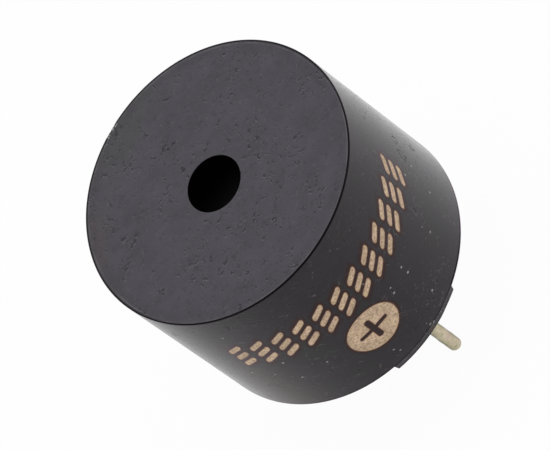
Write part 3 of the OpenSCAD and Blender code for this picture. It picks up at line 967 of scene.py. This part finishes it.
def makeBoardLaminate(look):
    # glass laminate under a green mask: the weave shows faintly as two crossed sets of threads
    material, shader, here = newMaterial("board_laminate")
    warp, weft = (calc("SINE", way * (2 * math.pi / look["threadPitch"])) for way in split(here)[:2])
    broad = noiseAt(here, 0.8, 3.0)
    colour = blend(ease(warp * weft * 0.15 + broad, 0.3, 0.7), look["deep"], look["light"])
    setSurface(shader, colour, ease(broad, 0.3, 0.7, 0.24, 0.36), 0.0, warp * weft, 0.004)
    return material


pinLook = {
    "cream": (0.70, 0.60, 0.45),
    "olive": (0.55, 0.51, 0.34),
    "pink": (0.60, 0.44, 0.40),
    "green": (0.33, 0.37, 0.22),
    "tarnishAndSideShade": (0.32, 0.31, 0.21),
    "lip": (0.74, 0.70, 0.58),
    "lipHeight": (0.02, 0.12),     # over the cut end
    "stretched": (4.0, 4.0, 1.7),  # the mottling's scale across and along the wire
}


def makeTinnedPin(look):
    # wire with a thin dull tin coat: cream, with pinkish and greenish blotches, some tarnish, and painted
    # shade along two sides
    material, shader, here = newMaterial("tinned_pin")
    x, y, z = split(here)
    drawn = after("VectorMath", {0: here, 1: look["stretched"]}, operation="MULTIPLY")[0]
    mottle = noiseAt(drawn, 1.0, 4.0, 0.65)
    blotch = noiseAt(here, 2.7, 3.0, 0.6)
    fine = noiseAt(here, 14.0, 3.0, 0.7)
    colour = blend(ease(mottle, 0.35, 0.66), look["cream"], look["olive"])
    colour = blend(ease(blotch, 0.53, 0.63, 0.0, 0.6), colour, look["pink"])
    colour = blend(ease(blotch, 0.44, 0.35, 0.0, 0.5), colour, look["green"])
    # the two sides in x are darker: painted shade
    side = ease(abs(x), 0.17, 0.27) * ease(mottle, 0.34, 0.58, 0.25, 1.0)
    colour = blend(side * 0.85, colour, look["tarnishAndSideShade"])
    colour = blend(ease(fine, 0.46, 0.34, 0.0, 0.5), colour, look["tarnishAndSideShade"])
    low, high = (cadBox[0][2] / mm + height for height in look["lipHeight"])
    colour = blend(between(z, low, high, 0.03) * ease(blotch, 0.4, 0.55) * 0.6, colour, look["lip"])
    setSurface(shader, colour, ease(mottle, 0.3, 0.7, 0.36, 0.54), 1.0, fine * 0.7 + mottle, 0.012)
    return material


resinLook = {
    "deep": (0.006, 0.006, 0.007),
    "cloudy": (0.018, 0.017, 0.019),
    "dust": (0.35, 0.34, 0.32),
    "pits": {"Scale": 3.0, "Depth": -0.02},
    "specks": {"Spacing": 0.6, "Size": 0.03, "Share": 0.35},
    "ior": 1.5,
}


def makePottingEpoxy(look):
    # black sealing resin: half gloss, cloudy, with dust and tiny craters from air bubbles gathered in patches
    material, shader, here = newMaterial("potting_epoxy")
    cloud = noiseAt(here, 0.8, 4.0, 0.6)
    pits = use("pits", here, **look["pits"])
    colour = blend(ease(cloud, 0.38, 0.62), look["deep"], look["cloudy"])
    colour = blend(pits["Pale"] * 0.08, colour, look["dust"])
    colour = blend(use("specks", here, **look["specks"])["Mask"] * 0.25, colour, look["dust"])
    relief = cloud * 1.5 - pits["Dark"] * 1.2
    setSurface(shader, colour, ease(cloud, 0.3, 0.7, 0.13, 0.34), 0.0, relief, 0.04)
    fill(shader, {"IOR": look["ior"]})
    return material


materials = {slotName: makeFinish(slotName, *look) for slotName, look in finishes.items()}
materials["case_plastic"] = makeCasePlastic()
materials["winding_wire"] = makeWindingWire(wireLook)
materials["board_laminate"] = makeBoardLaminate(boardLook)
materials["tinned_pin"] = makeTinnedPin(pinLook)
materials["potting_epoxy"] = makePottingEpoxy(resinLook)


def wear(piece, material):
    # every slot of the piece gets the material, and a piece without slots gets one
    if not piece.data.materials:
        piece.data.materials.append(material)
    for index in range(len(piece.data.materials)):
        piece.data.materials[index] = material


for part in frame["record"]["subparts"]:
    wear(nodes[part["node"]], materials[part["material_slot"]])
newPieces = {caseShell: "case_plastic", positiveWire: "tinned_pin", negativeWire: "tinned_pin",
             pottingSkin: "potting_epoxy"}
for piece, slotName in newPieces.items():
    wear(piece, materials[slotName])
print("materials set on", len(nodes) + len(newPieces), "pieces")

# The studio is a floor, a world and a lamp.
studio = {
    "floorHalf": 1500.0,
    "floorColour": (0.97, 0.97, 0.97),
    "plainShare": 0.95,            # of the floor's look that is plain white, the rest shows the shadow
    "shadeReach": (2.0, 5.5),      # from the axis, where reflections see the floor in the part's own shade
    "shadeShare": 0.25,            # and the plain share there
    "dimSide": 0.75,               # what shines back from the floor on the -X side, against the +X side
    "dimReach": 12.0,
    "skyLevel": 0.80,
    "lampPower": 0.16,
    "lampSize": 260.0,
    "lampPlace": (240.0, -120.0, 330.0),
    "shadeToward": (264.7, 50.4),  # where the studio's dark side is, as azimuth and elevation
    "shadeSpread": (0.80, 0.96),   # cosines of the angles from there at which it fades out and is full
    "shadeLevel": 0.15,
}
white = (1, 1, 1, 1)


def seenPlainly(tree):
    # 1 for glossy rays, and 1 for camera, glossy and transmission rays, which see the plain white surround
    path = signals(put(tree, "LightPath").outputs)
    camera, glossy, through = (path["Is %s Ray" % kind] for kind in ("Camera", "Glossy", "Transmission"))
    return glossy, highest(camera, glossy, through)


def makeFloor(setup):
    # paper that is mostly plain white when seen directly, dimmer in reflections on one side and near the axis
    half, height = setup["floorHalf"] * mm, cadBox[0][2]
    corners = [(x * half, y * half, height) for x, y in ((-1, -1), (1, -1), (1, 1), (-1, 1))]
    mesh = bpy.data.meshes.new("studioFloor")
    mesh.from_pydata(corners, [], [(0, 1, 2, 3)])
    floor = bpy.data.objects.new("studioFloor", mesh)
    bpy.context.scene.collection.objects.link(floor)
    material = bpy.data.materials.new("floorPaper")
    material.use_nodes = True
    tree = material.node_tree
    tree.nodes.clear()
    glossy, seen = seenPlainly(tree)
    paper = put(tree, "BsdfDiffuse", {"Color": (*setup["floorColour"], 1)})
    x, y = split(Signal(put(tree, "TexCoord").outputs["Object"]))[:2]
    level = 1.0 - ease(x, -setup["dimReach"] * mm, setup["dimReach"] * mm, 1 - setup["dimSide"], 0.0) * glossy
    plain = put(tree, "Emission", {"Color": white, "Strength": level})
    near, far = (reach * mm for reach in setup["shadeReach"])
    shaded = ease(length(x, y), near, far, setup["plainShare"] - setup["shadeShare"], 0.0)
    share = setup["plainShare"] - shaded * glossy
    looks = put(tree, "MixShader", {0: seen * share, 1: paper.outputs[0], 2: plain.outputs[0]})
    # from below there is no floor
    below = put(tree, "NewGeometry").outputs["Backfacing"]
    clear = put(tree, "BsdfTransparent")
    both = put(tree, "MixShader", {0: below, 1: looks.outputs[0], 2: clear.outputs[0]})
    put(tree, "OutputMaterial", {"Surface": both.outputs[0]})
    mesh.materials.append(material)


def makeWorld(setup):
    # white, with one soft dark patch that only glossy rays meet
    world = bpy.data.worlds.new("studioWorld")
    world.use_nodes = True
    tree = world.node_tree
    tree.nodes.clear()
    glossy, seen = seenPlainly(tree)
    cosine = towards(Signal(put(tree, "TexCoord").outputs["Generated"]), *setup["shadeToward"])
    level = 1.0 - ease(cosine, *setup["shadeSpread"], 0.0, 1 - setup["shadeLevel"]) * glossy
    sky = put(tree, "Background", {"Color": white, "Strength": setup["skyLevel"]})
    plain = put(tree, "Background", {"Color": white, "Strength": level})
    mixed = put(tree, "MixShader", {0: seen, 1: sky.outputs[0], 2: plain.outputs[0]})
    put(tree, "OutputWorld", {"Surface": mixed.outputs[0]})
    bpy.context.scene.world = world


def makeLamp(setup):
    data = bpy.data.lights.new("softLamp", "AREA")
    data.shape, data.size, data.energy = "DISK", setup["lampSize"] * mm, setup["lampPower"]
    lamp = bpy.data.objects.new("softLamp", data)
    lamp.location = Vector(setup["lampPlace"]) * mm
    lamp.rotation_euler = (-lamp.location).to_track_quat("-Z", "Y").to_euler()
    bpy.context.scene.collection.objects.link(lamp)


makeFloor(studio)
makeWorld(studio)
makeLamp(studio)
bpy.context.scene.view_settings.view_transform = "Standard"
print("studio ready")
